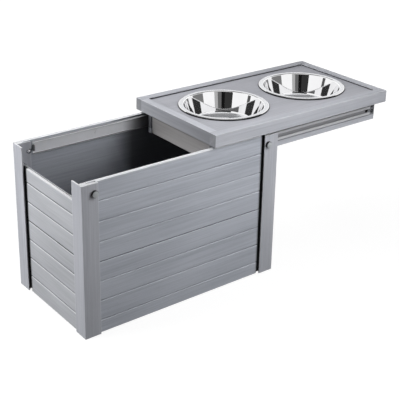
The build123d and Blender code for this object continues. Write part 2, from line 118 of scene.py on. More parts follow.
def rounded(corners, radius, steps=4, closed=True, worn_and_painted_light=None):
    """Returns points (n, 2) and wear_and_painted_light (n,). Each corner p, with unit directions a and
    b to its neighbours, becomes the quadratic curve (1-t)^2 (p + a r) + 2t(1-t) p + t^2 (p + b r),
    with one more point on each side, some radii away, where the amount has faded out. An outward
    corner gets 1, a rubbed pale edge, and an inward one 0, unless worn_and_painted_light gives
    amounts, which below 0 are painted shade. Full painted shade doesn't fade out. A line that isn't
    closed keeps its two ends."""
    p = np.asarray(corners, float)
    back, ahead = np.roll(p, 1, 0) - p, np.roll(p, -1, 0) - p
    back_length, ahead_length = np.linalg.norm(back, axis=1), np.linalg.norm(ahead, axis=1)
    a, b = back / back_length[:, None], ahead / ahead_length[:, None]
    room = corner_room * np.minimum(back_length, ahead_length)
    r = np.minimum(np.broadcast_to(np.asarray(radius, float), len(p)), room)[:, None, None]
    fade = np.minimum(r[:, 0, 0] * fade_reach, room * fade_room)[:, None, None]
    t = np.linspace(0, 1, steps)[None, :, None]
    curve = (1 - t) ** 2 * (p[:, None] + a[:, None] * r) + 2 * t * (1 - t) * p[:, None]
    curve = curve + t**2 * (p[:, None] + b[:, None] * r)
    points = np.concatenate([p[:, None] + a[:, None] * fade, curve, p[:, None] + b[:, None] * fade], 1)
    turn = back[:, 0] * ahead[:, 1] - back[:, 1] * ahead[:, 0]
    amount = (turn * double_area(p) < 0).astype(float) if worn_and_painted_light is None else np.asarray(worn_and_painted_light, float)
    bump = np.concatenate([[0.0], np.full(steps, 1.0), [0.0]])
    wear_and_painted_light = amount[:, None] * np.where(amount[:, None] <= shade, 1.0, bump[None])
    if not closed:
        inner = points[1:-1].reshape(-1, 2)
        points = np.concatenate([p[:1], inner, p[-1:]])
        return points, np.concatenate([[0.0], wear_and_painted_light[1:-1].ravel(), [0.0]])
    return points.reshape(-1, 2), wear_and_painted_light.ravel()


def outline_normals(points):
    """Outward unit normals of a closed outline: the chord between a point's neighbours, turned."""
    chord = np.roll(points, -1, 0) - np.roll(points, 1, 0)
    normal = np.stack([chord[:, 1], -chord[:, 0]], 1) * np.sign(double_area(points))
    return normal / np.maximum(np.linalg.norm(normal, axis=1), 1e-12)[:, None]


print("a rounded rectangle has", len(rounded([(0, 0), (10, 0), (10, 5), (0, 5)], 1)[0]), "points")

# %% Carry an outline along a straight path
board_round = 0.7 * MM
end_round = 0.4 * MM
end_steps, end_fade = 4, 4


def carried(points, wear_and_painted_light, start, end, round_ends=end_round, ends=(True, True), stops=(), end_wear=1.0):
    """Grid of (station, outline point), with columns across, up and along, and its
    wear_and_painted_light. At a rounded end the outline shrinks by r (1 - sin f) at a distance of
    r (1 - cos f) from the end, as f goes from 0 to 90 degrees. Each place in stops gets a station of
    its own."""
    f = np.linspace(0, np.pi / 2, end_steps)
    round_end = round_ends * (1 - np.cos(f)), round_ends * (1 - np.sin(f)), np.full(end_steps, end_wear)
    square_end = (np.zeros(1),) * 3
    first, last = [round_end if is_round else square_end for is_round in ends]
    middle = [start + round_ends * end_fade, end - round_ends * end_fade]
    along = np.concatenate([start + first[0], middle, (end - last[0])[::-1]])
    stations = np.sort(np.concatenate([stops, along]))
    inset, edge = [np.interp(stations, along, np.concatenate([first[n], np.zeros(2), last[n][::-1]]))
                   for n in (1, 2)]
    flat = points[None] - outline_normals(points)[None] * inset[:, None, None]
    grid = np.concatenate([flat, np.broadcast_to(stations[:, None, None], (*flat.shape[:2], 1))], 2)
    worn_and_painted_light = np.maximum(wear_and_painted_light[None], edge[:, None])
    return grid, np.where((wear_and_painted_light[None] < 0) & (edge[:, None] == 0), wear_and_painted_light[None], worn_and_painted_light)


def keep_numbers(mesh, name, numbers):
    """Keeps one number for each point of the mesh, under a name that a material can read."""
    mesh.attributes.new(name, "FLOAT", "POINT").data.foreach_set("value", numbers)


def mesh_of(name, grids, placed):
    """Closed tubes from grids, with an end face on each; placed turns (across, up, along) into x, y, z."""
    places, faces, worn_and_painted_light, first = [], [], [], 0
    for grid, wear_and_painted_light in grids:
        rows, columns = grid.shape[:2]
        index = np.arange(rows * columns).reshape(rows, columns) + first
        right = np.roll(index, -1, 1)
        quads = np.stack([index[:-1], right[:-1], right[1:], index[1:]], -1).reshape(-1, 4)
        faces += quads.tolist() + [index[0, ::-1].tolist(), index[-1].tolist()]
        places.append(placed(grid.reshape(-1, 3)))
        worn_and_painted_light.append(wear_and_painted_light.ravel())
        first += rows * columns
    mesh = bpy.data.meshes.new(name)
    mesh.from_pydata(np.concatenate(places).tolist(), [], faces)
    keep_numbers(mesh, "wear_and_painted_light", np.concatenate(worn_and_painted_light))
    return mesh


print("a rounded end has", end_steps, "stations")

# %% Finish a piece
merge_distance, speck = 1e-6, 1e-7


def in_scene(name, data):
    """An object for a mesh, a lamp or a camera, linked into the scene."""
    holder = bpy.data.objects.new(name, data)
    bpy.context.scene.collection.objects.link(holder)
    return holder


def finished(name, mesh, material, body, replaced=(), sharp=35):
    """Merges doubles, turns faces outward, shades smooth up to a sharp angle in degrees, and rides
    the piece on its body."""
    shape = bmesh.new()
    shape.from_mesh(mesh)
    bmesh.ops.remove_doubles(shape, verts=shape.verts, dist=merge_distance)
    bmesh.ops.dissolve_degenerate(shape, dist=speck, edges=shape.edges)
    bmesh.ops.recalc_face_normals(shape, faces=shape.faces)
    shape.to_mesh(mesh)
    shape.free()
    mesh.shade_smooth()
    mesh.set_sharp_from_angle(angle=math.radians(sharp))
    piece = in_scene(name, mesh)
    weighted = piece.modifiers.new("weighted_normals", "WEIGHTED_NORMAL")
    weighted.keep_sharp = True
    mesh.materials.append(material)
    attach(piece, body)
    if replaced:
        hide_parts(*replaced)
    print(name, len(mesh.polygons), "faces")
    return piece


# %% [markdown]
# ## Composite board
# The boards are wood flour and plastic, pressed with a wood-grain roller. Up close the surface has
# long shallow furrows, short dark pores that all run along the board, and slow changes of grey from
# one batch to the next. Edges are rubbed paler, and sawn ends are duller. A painted texture would
# need unwrapping and would blur close up. Noise that is stretched along the board stays crisp, and
# it is read from Object coordinates, so that it stays put on every piece.
#
# Shade gathers where two pieces nearly touch, and soft studio light shows little of that by itself.
# So the material also paints shade in three ways: where the per-point attribute is below 0, as a
# shadow between two heights close under another piece, and as a thin shadow ring round each bowl.


# %% Small helpers for shader nodes
def fill(tree, node, inputs):
    """Gives each named input of the node a value, or a link from another node's output."""
    for key, value in inputs.items():
        if isinstance(value, bpy.types.NodeSocket):
            tree.links.new(value, node.inputs[key])
        else:
            node.inputs[key].default_value = value


def add_node(tree, kind, inputs=None, **settings):
    """Adds a shader node, sets its properties, and fills its inputs."""
    node = tree.nodes.new(kind)
    for key, value in settings.items():
        setattr(node, key, value)
    fill(tree, node, inputs or {})
    return node


def new_material(name):
    """A material with a bare Principled surface; returns it, its tree and the surface node."""
    material = bpy.data.materials.new(name)
    material.use_nodes = True
    tree = material.node_tree
    surface = tree.nodes["Principled BSDF"]
    return material, tree, surface


def maths(tree, operation, a, b=0.0, c=0.0):
    """One Math node: operation on a, b and c."""
    return add_node(tree, "ShaderNodeMath", {0: a, 1: b, 2: c}, operation=operation).outputs[0]


def ramp(tree, value, low, high, first=0.0, last=1.0):
    """Goes evenly from first to last while value goes from low to high, and stays within them."""
    span = {"Value": value, "From Min": low, "From Max": high, "To Min": first, "To Max": last}
    return add_node(tree, "ShaderNodeMapRange", span).outputs[0]


def blend(tree, share, first, second):
    """The first colour, with a share of the second over it."""
    return add_node(tree, "ShaderNodeMix", {0: share, 6: first, 7: second}, data_type="RGBA").outputs[2]


def noise(tree, place, scale, octaves, rough=0.5):
    """Noise from 0 to 1 with about scale waves to the metre, and finer ones in octaves."""
    waves = {"Vector": place, "Scale": scale, "Detail": octaves, "Roughness": rough}
    return add_node(tree, "ShaderNodeTexNoise", waves).outputs["Fac"]


def along_axis(tree, vector, axis):
    """The vector's number for axis 0, 1 or 2."""
    return add_node(tree, "ShaderNodeSeparateXYZ", {0: vector}).outputs[axis]


def attribute(tree, name):
    """The number that the mesh keeps under this name, or 0 where it has none."""
    return add_node(tree, "ShaderNodeAttribute", attribute_name=name).outputs["Fac"]


def object_place(tree):
    """The point's own place on the object."""
    return add_node(tree, "ShaderNodeTexCoord").outputs["Object"]


def facing(tree):
    """The direction in which the face looks."""
    return add_node(tree, "ShaderNodeNewGeometry").outputs["Normal"]


def embossed(tree, height, strength, distance):
    """A normal for shading, as if the surface rose by height times distance."""
    relief = {"Height": height, "Strength": strength, "Distance": distance}
    return add_node(tree, "ShaderNodeBump", relief).outputs[0]


print("helpers for nodes ready")


# %% Colours
def linear(red, green, blue):
    """A colour written as on a colour chart, 0 to 255, turned into linear light."""
    share = np.array([red, green, blue]) / 255
    light = np.where(share <= 0.04045, share / 12.92, ((share + 0.055) / 1.055) ** 2.4)
    return (*[float(v) for v in light], 1.0)


def darkened(colour, share):
    """The colour at a share of its light."""
    return (*[share * v for v in colour[:3]], 1.0)


deep_shade = linear(34, 34, 36)
# the pale of an edge: rubbed in most places, a painted highlight at the grooves' lips
rubbed_and_lit_edge_grey = linear(226, 227, 229)
print("deep shade is", round(deep_shade[0], 4), "and a rubbed edge", round(rubbed_and_lit_edge_grey[0], 3))

# %% Composite material, for one direction of grain
# waves to the metre across and along the grain, octaves, roughness, seed, and what becomes 0 and 1
grain_layers = {
    "clouds": (14, 3.0, 2.0, 0.5, 1.7, 0.3, 0.7),
    "streaks": (240, 5.0, 4.0, 0.6, 4.1, 0.28, 0.72),
    "furrows": (900, 16.0, 3.0, 0.6, 9.3, 0.0, 1.0),
    "pores": (1500, 45.0, 2.0, 0.5, 3.3, 0.66, 0.78),
    "patches": (160, 30.0, 3.0, 0.6, 6.6, 0.25, 0.6),
}
seed_directions = (1.0, 0.7, 0.3)
streak_share, pore_share, pore_tone = 0.6, 0.35, 0.45
rub_and_highlight_share, patch_share = 0.9, 0.4
sawn_facing = (0.9, 0.99)
# how dark a painted shadow gets, under a piece close above and round a bowl's rim
contact_shadow_share = 0.6
ring_reach = 2.4 * MM
smooth_rough, furrow_rough, board_specular = 0.45, 0.25, 0.35
relief_shares = {"streaks": 0.4, "furrows": 0.6, "pores": -0.8}
emboss_strength, emboss_depth = 0.35, 0.4 * MM


def composite(name, grain, light, contrast=32, contact_shadow=None, rings=(), sawn_tone=0.5):
    """Board material with its grain along axis 0, 1 or 2, between the colour light and one that is
    darker by contrast. A sawn end has the darker one at the share sawn_tone. Between two given
    heights it gets a painted shadow, where a piece lies close above, and so it does round rings, the
    bowls' centres, close to the radius of their rims."""
    material, tree, surface = new_material(name)
    place = object_place(tree)
    dark, light = linear(*[v - contrast for v in light]), linear(*light)

    def layer(across, along, octaves, rough, seed, low, high):
        scale = [across] * 3
        scale[grain] = along
        moved = {"Vector": place, "Scale": scale, "Location": [seed * v for v in seed_directions]}
        spot = add_node(tree, "ShaderNodeMapping", moved).outputs[0]
        return ramp(tree, noise(tree, spot, 1.0, octaves, rough), low, high)

    layers = {kind: layer(*numbers) for kind, numbers in grain_layers.items()}
    clouds = maths(tree, "MULTIPLY", layers["clouds"], 1 - streak_share)
    tone = maths(tree, "MULTIPLY_ADD", layers["streaks"], streak_share, clouds)
    colour = blend(tree, tone, dark, light)
    sawn = ramp(tree, maths(tree, "ABSOLUTE", along_axis(tree, facing(tree), grain)), *sawn_facing)
    colour = blend(tree, sawn, colour, darkened(dark, sawn_tone))
    pores = maths(tree, "MULTIPLY", layers["pores"], pore_share)
    colour = blend(tree, pores, colour, darkened(dark, pore_tone))
    wear_and_painted_light = attribute(tree, "wear_and_painted_light")
    # above 0 the board turns pale: rubbed edges, and painted highlights at the grooves' lips
    worn_and_painted_light = maths(tree, "MULTIPLY", maths(tree, "MAXIMUM", wear_and_painted_light, 0.0), rub_and_highlight_share)
    patches = maths(tree, "MULTIPLY_ADD", layers["patches"], patch_share, 1 - patch_share)
    colour = blend(tree, maths(tree, "MULTIPLY", worn_and_painted_light, patches), colour, rubbed_and_lit_edge_grey)
    # below 0 the per-point attribute is painted shade, mixed towards deep_shade
    painted_shade = maths(tree, "MAXIMUM", maths(tree, "MULTIPLY", wear_and_painted_light, -1.0), 0.0)
    colour = blend(tree, painted_shade, colour, deep_shade)
    # painted shadow between two heights, under a piece close above
    if contact_shadow:
        under = ramp(tree, along_axis(tree, place, 2), *contact_shadow, 0.0, contact_shadow_share)
        colour = blend(tree, under, colour, deep_shade)
    # a painted shadow ring on the panel round each bowl's rim
    for centre in rings:
        ends = {0: place, 1: (centre.x, centre.y, inset_high.z)}
        distance = add_node(tree, "ShaderNodeVectorMath", ends, operation="DISTANCE").outputs[1]
        outside = ramp(tree, distance, rim_radius + ring_reach, rim_radius)
        inside = ramp(tree, distance, rim_radius - ring_reach, rim_radius, 0.0, contact_shadow_share)
        colour = blend(tree, maths(tree, "MULTIPLY", outside, inside), colour, deep_shade)
    height = 0.0
    for kind, share in relief_shares.items():
        height = maths(tree, "MULTIPLY_ADD", layers[kind], share, height)
    fill(tree, surface, {
        "Base Color": colour,
        "Roughness": maths(tree, "MULTIPLY_ADD", layers["furrows"], furrow_rough, smooth_rough),
        "Specular IOR Level": board_specular,
        "Normal": embossed(tree, height, emboss_strength, emboss_depth),
    })
    return material


# %% Greys of the boards
board_grey = (194, 196, 203)
board_x = composite("composite_along_x", 0, (192, 196, 205))
board_y = composite("composite_along_y", 1, (192, 194, 199))
board_z = composite("composite_upright", 2, board_grey)
tray_x = composite("composite_tray_x", 0, (190, 192, 199))
tray_y = composite("composite_tray_y", 1, (200, 202, 209))
inset_x = composite("composite_inset", 0, (185, 186, 193), contrast=33, rings=bowl_centres)
slide_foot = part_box("slide_moving_front")[0].z
# heights of painted shadow on the aprons: under the tray members, and under the rim's overhang
near_slide = (slide_foot - 6.6 * MM, slide_foot - 4.6 * MM)
near_rim = (tray_low.z - 17 * MM, tray_low.z - 12 * MM)
apron_x = composite("composite_apron_x", 0, board_grey, contact_shadow=near_slide, sawn_tone=1.0)
apron_y = composite("composite_apron_y", 1, (163, 161, 161), contrast=22, contact_shadow=near_rim)
# the storage floor and cleats are dark grey, painted shade, so the inside of the box stays dark
floor_board_in_painted_shade = composite("composite_floor", 0, (112, 113, 115), contrast=14)
print("composite materials", [m.name for m in bpy.data.materials if m.name.startswith("comp")])

# %% [markdown]
# ## Corner posts
# A post is an extruded angle: a wide thin flange laps over the end of each wall, and behind it a
# slot holds the wall's thin end. Above the end wall the inner part is milled away, so that the
# tray can slide past. A cut with a Boolean modifier could do that, but two outlines, one on top of
# the other, give a cleaner mesh. The walls fit loosely at the right and at the back, and there the
# mouth of the slot is painted in shade.

# %% Outlines of a post, in (u, v)
flange_thickness = 3.6 * MM
post_body, body_inner = 40 * MM, 18.0 * MM
slot_outer, slot_inner, slot_bottom = 9.6 * MM, 15.0 * MM, 19.0 * MM


def post_outlines(left):
    """Full outline below the end wall's top, and the milled one above it."""
    half = [
        (flange_width, 0), (flange_width, flange_thickness), (post_body, flange_thickness),
        (post_body, slot_outer), (slot_bottom, slot_outer), (slot_bottom, slot_inner),
        (post_body, slot_inner), (post_body, body_inner),
    ]
    full = [(0, 0)] + half + [(body_inner, body_inner)] + [(v, u) for u, v in reversed(half)]
    if left:
        milled = [(0, 0)] + half + [(flange_thickness, body_inner), (flange_thickness, flange_width),
                                    (0, flange_width)]
    else:
        milled = [(0, 0)] + half[:6] + [(0, slot_inner)]
    return full, milled


print("a post has", len(post_outlines(True)[0]), "corners, and", len(post_outlines(True)[1]), "at the top")

# %% Corner posts
post_round, post_edge_wear = 1.0 * MM, 0.5
slot_mouth_corners = {(post_body, flange_thickness), (post_body, slot_outer)}
for name in ("front_left", "front_right", "back_left", "back_right"):
    side_x = -1 if "left" in name else 1
    side_y = -1 if "front" in name else 1
    full, milled = post_outlines("left" in name)
    grids = []
    for outline, start, end, ends in (
        (full, 0.0, end_wall_top, (True, False)),
        (milled, end_wall_top, post_top, (False, True)),
    ):
        radius = np.full(len(outline), board_round)
        radius[0] = post_round
        worn_and_painted_light = []
        for u, v in outline:
            loose = (side_x if u > v else side_y) > 0
            at_mouth = (max(u, v), min(u, v)) in slot_mouth_corners
            # at a loose fit the slot's mouth is painted in full shade
            worn_and_painted_light.append(shade if loose and at_mouth else post_edge_wear)
        worn_and_painted_light[0] = 0
        points, wear_and_painted_light = rounded(outline, radius, worn_and_painted_light=worn_and_painted_light)
        grids.append(carried(points, wear_and_painted_light, start, end, ends=ends))

    def stand(grid, side_x=side_x, side_y=side_y):
        """u and v run inward from the post's outer corner."""
        return np.stack([side_x * (cabinet_half.x - grid[:, 0]), side_y * (cabinet_half.y - grid[:, 1]),
                         grid[:, 2]], 1)

    mesh = mesh_of(f"corner_{name}", grids, stand)
    finished(f"corner_{name}", mesh, board_z, "cabinet", [f"post_{name}"])

# %% [markdown]
# ## Slatted walls
# Each wall is two wide planks that meet in a tongue and groove, and V grooves make each plank look
# like several slats. The plank's outline, with its grooves, is carried along the wall. Towards its
# ends only the thin tongue goes on into the post, so there the outline's outer points are pushed
# back to the tongue's face.
#
# A groove has painted shade, the lip under it a painted highlight, and the corner over it can have
# painted shade too. The long walls and the end walls have amounts of their own. Inside, a wall is
# painted paler near its top and darker towards the floor, and a long wall also darker towards the
# end that the tray covers at every pose.

# %% Outline of a plank, in (v, z)
wall_recess, wall_inner, tongue_outer = 3.7 * MM, 14.7 * MM, 9.9 * MM
vee_half, vee_depth = 2.2 * MM, 2.6 * MM
tenon_half, tenon_height = 1.2 * MM, 4.0 * MM
mortise_half, mortise_height = 1.5 * MM, 4.3 * MM
joint_half_gap = 0.2 * MM


def plank_outline(foot, top, vees, tenon, mortise, top_slot):
    """Anticlockwise outline of a plank's section, outer face first."""
    middle = (tongue_outer + wall_inner) / 2
    points = []
    for height in sorted(vees):
        low, high = height - vee_half, height + vee_half
        if low > foot and high < top:
            points += [(wall_recess, low), (wall_recess + vee_depth, height), (wall_recess, high)]
    cut = vee_depth * (1 - joint_half_gap / vee_half)
    if mortise:
        points = [(wall_recess + cut, foot), (wall_recess, foot + vee_half - joint_half_gap)] + points
    else:
        points = [(wall_recess, foot)] + points
    if tenon:
        points += [(wall_recess, top - vee_half + joint_half_gap), (wall_recess + cut, top)]
        points += [(middle - tenon_half, top), (middle - tenon_half, top + tenon_height)]
        points += [(middle + tenon_half, top + tenon_height), (middle + tenon_half, top)]
    else:
        points += [(wall_recess, top)]
        if top_slot:
            points += [(middle - tenon_half, top), (middle - tenon_half, top - tenon_height)]
            points += [(middle + tenon_half, top - tenon_height), (middle + tenon_half, top)]
    points += [(wall_inner, top), (wall_inner, foot)]
    if mortise:
        points += [(middle + mortise_half, foot), (middle + mortise_half, foot + mortise_height)]
        points += [(middle - mortise_half, foot + mortise_height), (middle - mortise_half, foot)]
    return points


print("wall thickness", round((wall_inner - wall_recess) / MM, 1), "mm")

# %% A plank
tongue_start, face_start = 19.3 * MM, post_body + 0.3 * MM
# places closer than `same` are one place, and a sharp step in the outline is `step_width` long
same, step_width = 1e-6, 1e-5
# painted shade beside the loose gap: how dark, over what length, and how much more in a groove
beside_gap, gap_fade, groove_notch = -0.6, 6.0 * MM, 1.6
# inside the box: painted light above even_height, and painted shade below it down to deepest_inside
even_height, inner_fall, deepest_inside = 315 * MM, 5.0, -0.85


def outline_wear_and_painted_light(points, amounts):
    """Amounts for each corner (v, z): painted shade and highlight at the grooves, from amounts, and
    the top edge rubbed pale.
    """
    v, z = np.array(points).T
    groove = v > wall_recess + same
    at_joint = (z < z.min() + same) | (z > z.max() - tenon_height - same)
    above_foot = z > z.min() + same
    worn_and_painted_light = np.where(groove, np.where(at_joint, amounts["joint"], amounts["groove"]), 0.0)
    # the lip under a groove gets a painted highlight, the corner over it painted shade
    worn_and_painted_light[np.roll(groove, -1) & ~groove & above_foot] = amounts["lip"]
    worn_and_painted_light[np.roll(groove, 1) & ~groove & above_foot] = amounts["over"]
    worn_and_painted_light[z > z.max() - same] = 1
    return worn_and_painted_light


def plank(name, outline, half_length, loose_gap, placed, material, amounts, covered=()):
    """Carries the outline along the wall, and holds its outer points back to the tongue past the
    wall's face. The face starts under one flange and ends a gap short of the other. The gap has
    painted shade, and over a short fade before it the face gets darker painted shade, and its grooves
    more so. Inside, the painted light is inner_fall times (z - even_height), pale above and shade
    below, down to deepest_inside, and between the two places of covered the painted shade grows."""
    points, wear_and_painted_light = rounded(outline, board_round, steps=3, worn_and_painted_light=outline_wear_and_painted_light(outline, amounts))
    v, z = points.T
    wear_and_painted_light[z > z.max() - 10 * same] = 1
    # inner faces are painted paler near the top and in shade towards the floor
    inside = (v > wall_inner - same) & (z < z.max() - 2 * board_round)
    wear_and_painted_light[inside] = np.maximum(inner_fall * (z[inside] - even_height), deepest_inside)
    start, end = -half_length + face_start, half_length - flange_width - loose_gap
    slot_mouth = half_length - post_body
    stops = [start - step_width, start, start + board_round, end - gap_fade, end - board_round, end,
             end + step_width, slot_mouth, slot_mouth + step_width, *covered]
    grid, wear_and_painted_light = carried(points, wear_and_painted_light, -half_length + tongue_start, half_length - tongue_start,
                         ends=(False, False), stops=stops)
    v, along = grid[..., 0], grid[..., 2]
    past = np.maximum(start - along, along - end)
    on_face = past < step_width / 2
    pushed = np.where(on_face, wall_recess + np.maximum(past + board_round, 0), tongue_outer)
    # the tongue seen in the loose gap is painted in full shade
    in_gap = (along > end + step_width / 2) & (along < slot_mouth + step_width / 2)
    wear_and_painted_light = np.where(in_gap & (v < tongue_outer + same), shade, wear_and_painted_light)
    # painted shade that deepens on the face towards the loose gap
    near = beside_gap * np.clip((along - end + gap_fade) / gap_fade, 0, 1)
    near = np.where(wear_and_painted_light < 0, np.minimum(wear_and_painted_light, near * groove_notch), np.where(near < 0, near, wear_and_painted_light))
    wear_and_painted_light = np.where((v < tongue_outer - same) & on_face, near, wear_and_painted_light)
    grid[..., 0] = np.maximum(v, pushed)
    if covered:
        # painted shade inside, where the tray always covers the box
        dim = deepest_inside * np.clip((along - covered[0]) / (covered[1] - covered[0]), 0, 1)
        wear_and_painted_light = np.where(grid[..., 0] > wall_inner - same, np.minimum(wear_and_painted_light, dim), wear_and_painted_light)
    mesh = mesh_of(name, [(grid, wear_and_painted_light)], placed)
    return finished(name, mesh, material, "cabinet", [name.replace("slats_", "")])


print("a plank's face starts", round(face_start / MM, 1), "mm from the corner")

# %% Long walls, front and back, and end walls, left and right
slat_pitch = 53.4 * MM
long_loose_gap, end_loose_gap = 8.0 * MM, 12.0 * MM
# along x, where the painted shade under the tray starts and where it is deepest
under_tray = (-35 * MM, 52 * MM)
# painted shade in grooves and at joints, and painted highlight on the lips, for each kind of wall
long_vee_painted_light = {"groove": -0.33, "joint": -0.7, "lip": 0.18, "over": 0.0}
end_vee_painted_light = {"groove": -0.96, "joint": shade, "lip": 0.9, "over": -0.5}
for name, side in (("front", -1), ("back", 1), ("left", -1), ("right", 1)):
    is_long = name in ("front", "back")

    def stand(grid, side=side, is_long=is_long):
        """v runs inward from the cabinet's outer plane, along x at an end and along y at a side."""
        if is_long:
            return np.stack([grid[:, 2], side * (cabinet_half.y - grid[:, 0]), grid[:, 1]], 1)
        return np.stack([side * (cabinet_half.x - grid[:, 0]), grid[:, 2], grid[:, 1]], 1)

    for part in ("lower", "upper"):
        low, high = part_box(f"{name}_wall_{part}")
        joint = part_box(f"{name}_wall_upper")[0].z - joint_half_gap
        is_lower = part == "lower"
        vees = [joint + n * slat_pitch for n in (range(-3, 1) if is_lower else range(4 if is_long else 3))]
        outline = plank_outline(low.z, high.z - tenon_height if is_lower else high.z, vees, tenon=is_lower,
                                mortise=not is_lower, top_slot=not (is_lower or is_long))
        if is_long:
            plank(f"slats_{name}_wall_{part}", outline, cabinet_half.x, long_loose_gap, stand, board_x,
                  long_vee_painted_light, under_tray)
        else:
            plank(f"slats_{name}_wall_{part}", outline, cabinet_half.y, end_loose_gap, stand, board_y,
                  end_vee_painted_light)

# %% [markdown]
# ## Tray rim
# Four rails stand round a thinner inset panel. The long ones run the tray's full length and the
# short ones butt between them, so the corner joint is a straight line and the long rails show
# their ends. A groove inside each rail holds the panel. One outline serves all four rails. In the
# long ones the groove stops short of the ends, so there its points are moved out to the rail's
# face. Painted shade lies on the rim's inner side, over the panel, and on the left rail's outer side.

# %% Outline of a rail
rail_width, rail_round = 25 * MM, 1.4 * MM
# painted shade on the rail's inner side, where it meets the panel
rail_edge_wear, inner_corner_shade, inner_shade = 0.2, -0.3, -0.95
groove_depth, groove_play = 8.3 * MM, 0.3 * MM
groove_low, groove_high = inset_low.z - groove_play, inset_high.z + groove_play
rail_outline = [
    (0, tray_low.z), (rail_width, tray_low.z), (rail_width, groove_low),
    (rail_width - groove_depth, groove_low), (rail_width - groove_depth, groove_high),
    (rail_width, groove_high), (rail_width, tray_high.z), (0, tray_high.z),
]
rail_radius = np.full(len(rail_outline), board_round)
rail_radius[-2:] = rail_round
rail_worn_and_painted_light = [rail_edge_wear, rail_edge_wear, 0, 0, 0, shade, inner_corner_shade, rail_edge_wear]
rail_points, rail_wear_and_painted_light = rounded(rail_outline, rail_radius, worn_and_painted_light=rail_worn_and_painted_light)
points_a_corner = len(rail_points) // len(rail_outline)
below_inner_edge = (len(rail_outline) - 2) * points_a_corner
rail_wear_and_painted_light[below_inner_edge] = inner_shade
print("a rail's outline has", len(rail_points), "points")

# %% Tray rails
butt_round = 0.3 * MM
long_end_wear = 0.1
outer_skin, outer_shade, outer_lean = 0.2 * MM, -0.45, 0.3
for name, side in (("front", -1), ("back", 1)):
    reach = (inset_high.x - inset_low.x) / 2 + groove_play
    stops = [-reach - step_width, -reach, reach, reach + step_width]
    grid, wear_and_painted_light = carried(rail_points, rail_wear_and_painted_light, -tray_half_length, tray_half_length, stops=stops,
                         end_wear=long_end_wear)
    in_groove = (grid[..., 1] > groove_low - MM) & (grid[..., 1] < groove_high + MM) & (grid[..., 0] > MM)
    beyond = np.abs(grid[..., 2]) > reach + step_width / 2
    face = grid[..., 0].max(1, keepdims=True)
    grid[..., 0] = np.where(in_groove & beyond, face, grid[..., 0])

    def lay(grid, side=side):
        """The first column runs inward from the tray's long edge."""
        return np.stack([tray_middle + grid[:, 2], side * (tray_half_depth - grid[:, 0]), grid[:, 1]], 1)

    mesh = mesh_of(f"rim_{name}", [(grid, wear_and_painted_light)], lay)
    finished(f"rim_{name}", mesh, tray_x, "tray", [f"tray_rail_{name}"])
for name, side in (("left", -1), ("right", 1)):
    reach = tray_half_depth - rail_width
    grid, wear_and_painted_light = carried(rail_points, rail_wear_and_painted_light, -reach, reach, round_ends=butt_round, end_wear=0.0)
    if name == "left":
        # painted shade on the left rail's outer side, less of it towards the back
        outer_side = grid[..., 0] < outer_skin
        wear_and_painted_light = np.where(outer_side, outer_shade * (1 - outer_lean * grid[..., 2] / reach), wear_and_painted_light)

    def lay(grid, side=side):
        """The first column runs inward from the tray's short edge."""
        across = side * (tray_half_length - grid[:, 0])
        return np.stack([tray_middle + across, grid[:, 2], grid[:, 1]], 1)

    mesh = mesh_of(f"rim_{name}", [(grid, wear_and_painted_light)], lay)
    finished(f"rim_{name}", mesh, tray_y, "tray", [f"tray_rail_{name}"])

# %% [markdown]
# ## Boards that keep their measured shape
# The inset panel, the apron under the tray, its corner blocks and the storage floor are plain
# boards with cut-outs. Their measured meshes are right already, so there is no need to make them
# again. Each is copied, its loose triangles are merged, and a Bevel modifier takes the sharpness
# off the edges.

# %% Soften a measured board
bevel_width, bevel_segments = 0.5 * MM, 2
flat_within, bevel_beyond = 1, 40


def softened(node, material, body):
    """A merged copy of a frame node, with its edges bevelled, that stands for the node. Faces that
    lie flat within 1 degree are joined, and edges that turn by more than 40 degrees are bevelled."""
    mesh = nodes[node].data.copy()
    mesh.name = f"{node}_board"
    mesh.materials.clear()
    shape = bmesh.new()
    shape.from_mesh(mesh)
    bmesh.ops.remove_doubles(shape, verts=shape.verts, dist=merge_distance)
    bmesh.ops.dissolve_limit(shape, angle_limit=math.radians(flat_within), verts=shape.verts,
                             edges=shape.edges)
    shape.to_mesh(mesh)
    shape.free()
    mesh.attributes.new("wear_and_painted_light", "FLOAT", "POINT")
    mesh.materials.append(material)
    piece = in_scene(f"{node}_board", mesh)
    bevel = piece.modifiers.new("edges", "BEVEL")
    bevel.width, bevel.segments, bevel.limit_method = bevel_width, bevel_segments, "ANGLE"
    bevel.angle_limit = math.radians(bevel_beyond)
    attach(piece, body)
    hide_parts(node)
    print(piece.name, len(mesh.polygons), "faces before the bevel")


softened("inset_panel", inset_x, "tray")
softened("apron_front", apron_x, "tray")
softened("apron_back", apron_x, "tray")
softened("apron_left", apron_y, "tray")
softened("apron_right", apron_y, "tray")
softened("corner_blocks", board_z, "tray")
softened("floor_panel", floor_board_in_painted_shade, "cabinet")
softened("floor_cleats", floor_board_in_painted_shade, "cabinet")

# %% [markdown]
# ## Metal and plastic
# The slides are zinc-plated sheet steel: pale, satin, with drawn lines along their length. The
# plating is so dull that it looks like plain grey, so its Metallic is low. Painted shade darkens
# the channels and what faces up, and the tray's painted shade lies on one end of the wall members.
# The tray members are a darker copy of the same plating, painted shade under the tray. The bowls
# are polished stainless steel, nearly a mirror inside, with a satin floor and rim. A mirror has no
# colour of its own beyond its tint, so that material is mostly roughness and very fine lines.

# %% Metal materials
scratches_across, scratches_along, tint_waves, tint_depth = 2500.0, 20.0, 25.0, 0.88
satin_grey, satin_roughness = linear(232, 233, 236), 0.22
line_strength = 0.4
# how dark the painted shade in a channel's web gets
channel_shade_share = 0.55
# faces whose normal points up between these amounts get more and more painted shade
lying = (0.5, 0.9)


